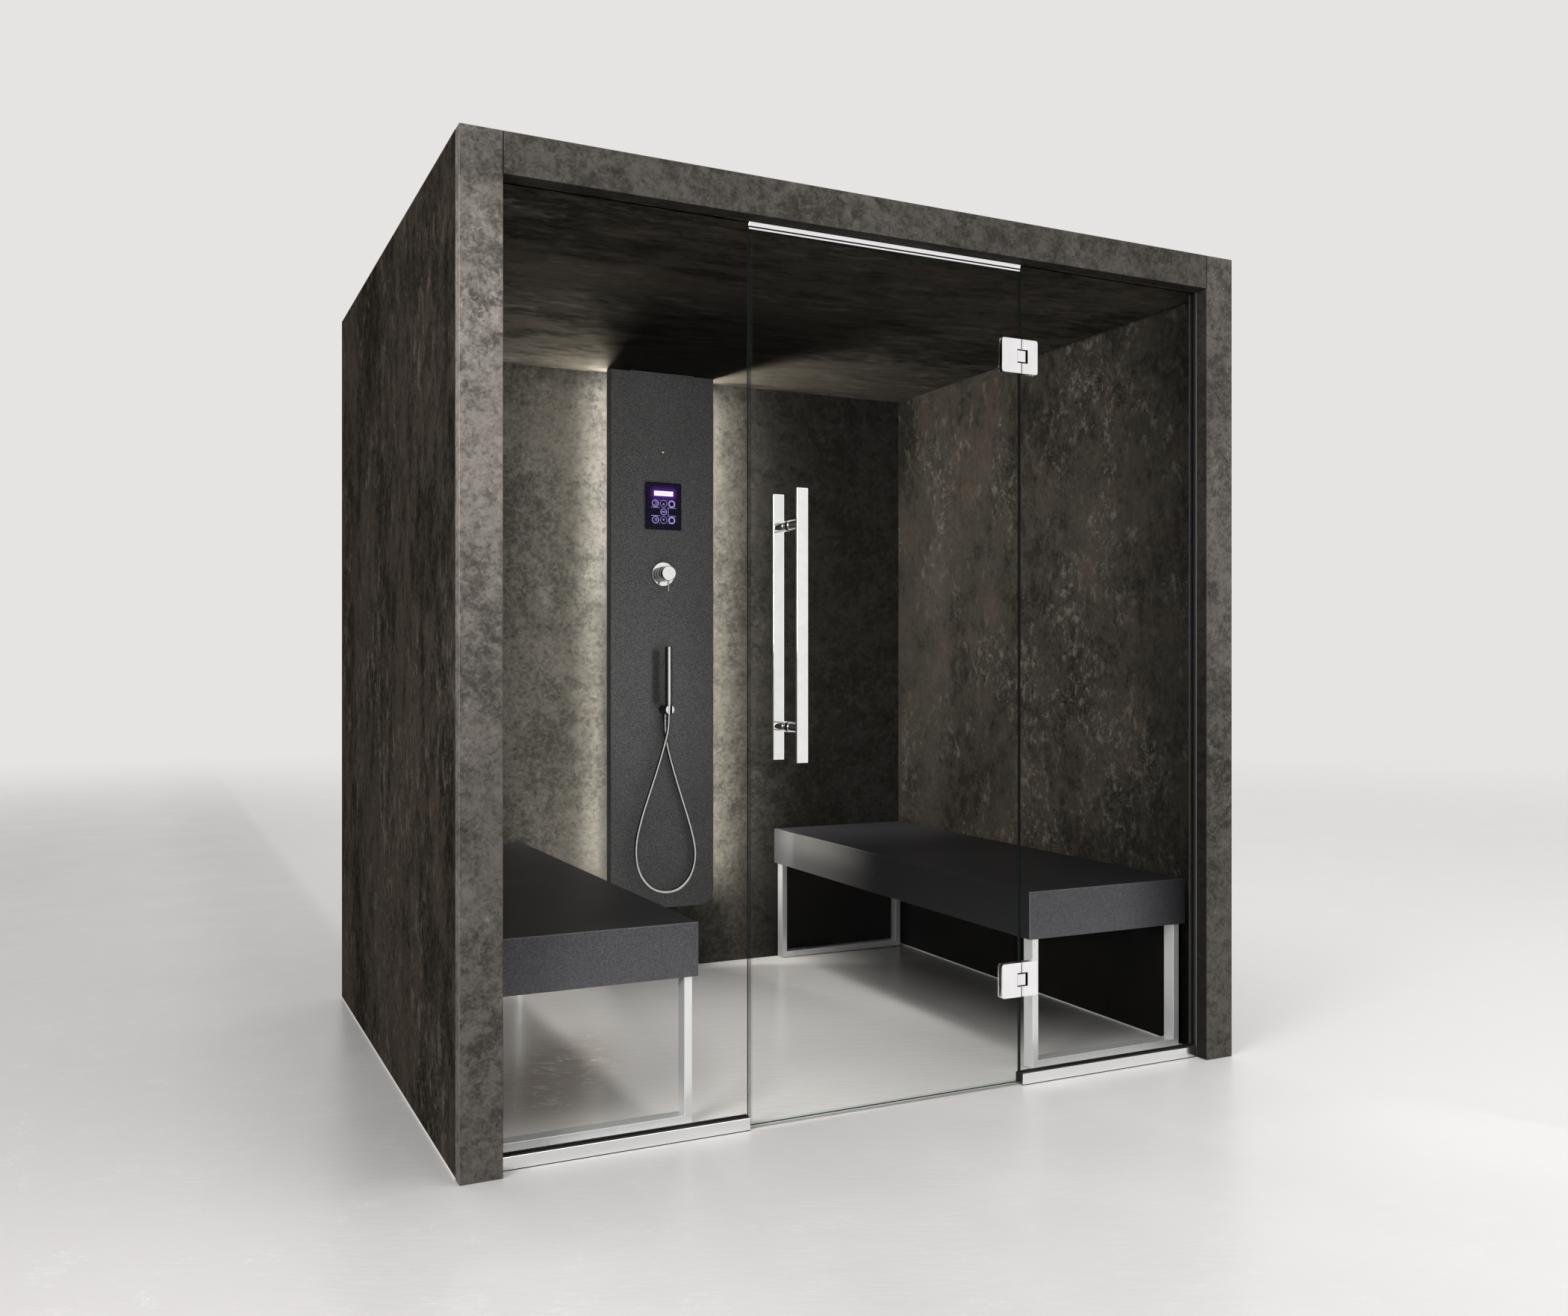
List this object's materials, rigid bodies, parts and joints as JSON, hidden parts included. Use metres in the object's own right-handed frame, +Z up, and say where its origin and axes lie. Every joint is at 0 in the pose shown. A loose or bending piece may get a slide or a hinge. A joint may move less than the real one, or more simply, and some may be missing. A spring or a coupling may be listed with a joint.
{
  "type": "steam_sauna_cabin",
  "caption": "Walk-in steam sauna cabin: dark stone-effect panels, frameless glass front with a pull-handle door, benches on legs, and a lit column with keypad, mixer and hand shower.",
  "frame": {"origin": "on the floor, in the middle of the footprint, the door's outer handle included", "axes": "+Z up, +Y from the glass front to the back wall, +X to the right seen from the front"},
  "size_m": [2.17, 1.816, 2.25],
  "materials": {
    "stone_panel": "satin",
    "foam_core": "matte",
    "stone_front": "satin",
    "anthracite_bench": "matte",
    "clear_glass": "gloss",
    "polished_aluminium": "polished",
    "satin_aluminium": "satin",
    "chrome": "polished",
    "steel": "satin",
    "black_rubber": "matte",
    "clear_seal": "gloss",
    "column_grey": "matte",
    "galvanised_steel": "satin",
    "opal_diffuser": "satin",
    "keypad_black_glass": "gloss",
    "black_plastic": "matte",
    "brass": "satin",
    "white_plastic": "satin",
    "copper_pipe": "satin"
  },
  "bodies": {
    "cabin": {"left_wall_outer_skin": "stone_panel", "left_wall_inner_skin": "stone_panel", "right_wall_outer_skin": "stone_panel", "right_wall_inner_skin": "stone_panel", "back_wall_outer_skin": "stone_panel", "back_wall_inner_skin": "stone_panel", "ceiling_outer_skin": "stone_panel", "ceiling_inner_skin": "stone_panel", "left_wall_core": "foam_core", "right_wall_core": "foam_core", "back_wall_core": "foam_core", "ceiling_core": "foam_core", "bench_cores": "foam_core", "front_post_left": "stone_front", "front_post_right": "stone_front", "front_lintel": "stone_front", "bench_left_seat": "anthracite_bench", "bench_right_seat": "anthracite_bench", "fixed_glass_left": "clear_glass", "fixed_glass_right": "clear_glass", "glass_wall_profiles": "polished_aluminium", "floor_channels": "polished_aluminium", "door_header_bar": "polished_aluminium", "bench_frames": "satin_aluminium", "led_profiles": "satin_aluminium", "hinge_fixed_leaves": "chrome", "temperature_sensor": "chrome", "mixer_rosette": "chrome", "shower_holder": "chrome", "hose_nut": "chrome", "shower_hose": "chrome", "hinge_pins": "steel", "pane_hinge_screws": "steel", "steam_pipe": "steel", "glazing_gaskets": "black_rubber", "frame_glides": "black_rubber", "column_cover": "column_grey", "column_spine": "galvanised_steel", "roof_brackets": "galvanised_steel", "led_diffusers": "opal_diffuser", "keypad_glass": "keypad_black_glass", "keypad_housing": "black_plastic", "light_driver": "black_plastic", "mixer_valve": "brass", "mixer_cartridge": "white_plastic", "supply_pipes": "copper_pipe"},
    "door": {"door_glass": "clear_glass", "door_side_seal": "clear_seal", "door_bottom_seal": "black_rubber", "hinge_door_leaves": "chrome", "hinge_knuckles": "chrome", "door_hinge_screws": "steel", "handle_bars": "chrome", "handle_standoffs": "chrome", "handle_washers": "clear_seal"},
    "mixer_carrier": {"mixer_dome": "chrome"},
    "mixer_handle": {"mixer_cap": "chrome", "mixer_lever": "chrome"},
    "hand_shower": {"shower_handset": "chrome", "handset_cone": "chrome"}
  },
  "joints": [
    {"name": "door_hinge", "type": "hinge", "parent": "cabin", "child": "door", "pos_m": [0.403, -0.838, 1.0965], "axis": [0, 0, 1], "range_deg": [0, 90]},
    {"name": "mixer_turn", "type": "hinge", "parent": "cabin", "child": "mixer_carrier", "pos_m": [0, 0.741, 1.4345], "axis": [0, 1, 0], "range_deg": [-45, 45]},
    {"name": "mixer_tilt", "type": "hinge", "parent": "mixer_carrier", "child": "mixer_handle", "pos_m": [0, 0.741, 1.4345], "axis": [-1, 0, 0], "range_deg": [0, 20]},
    {"name": "handset_lift", "type": "slide", "parent": "cabin", "child": "hand_shower", "axis": [0, 0, 1], "range_m": [0, 0.06]}
  ]
}
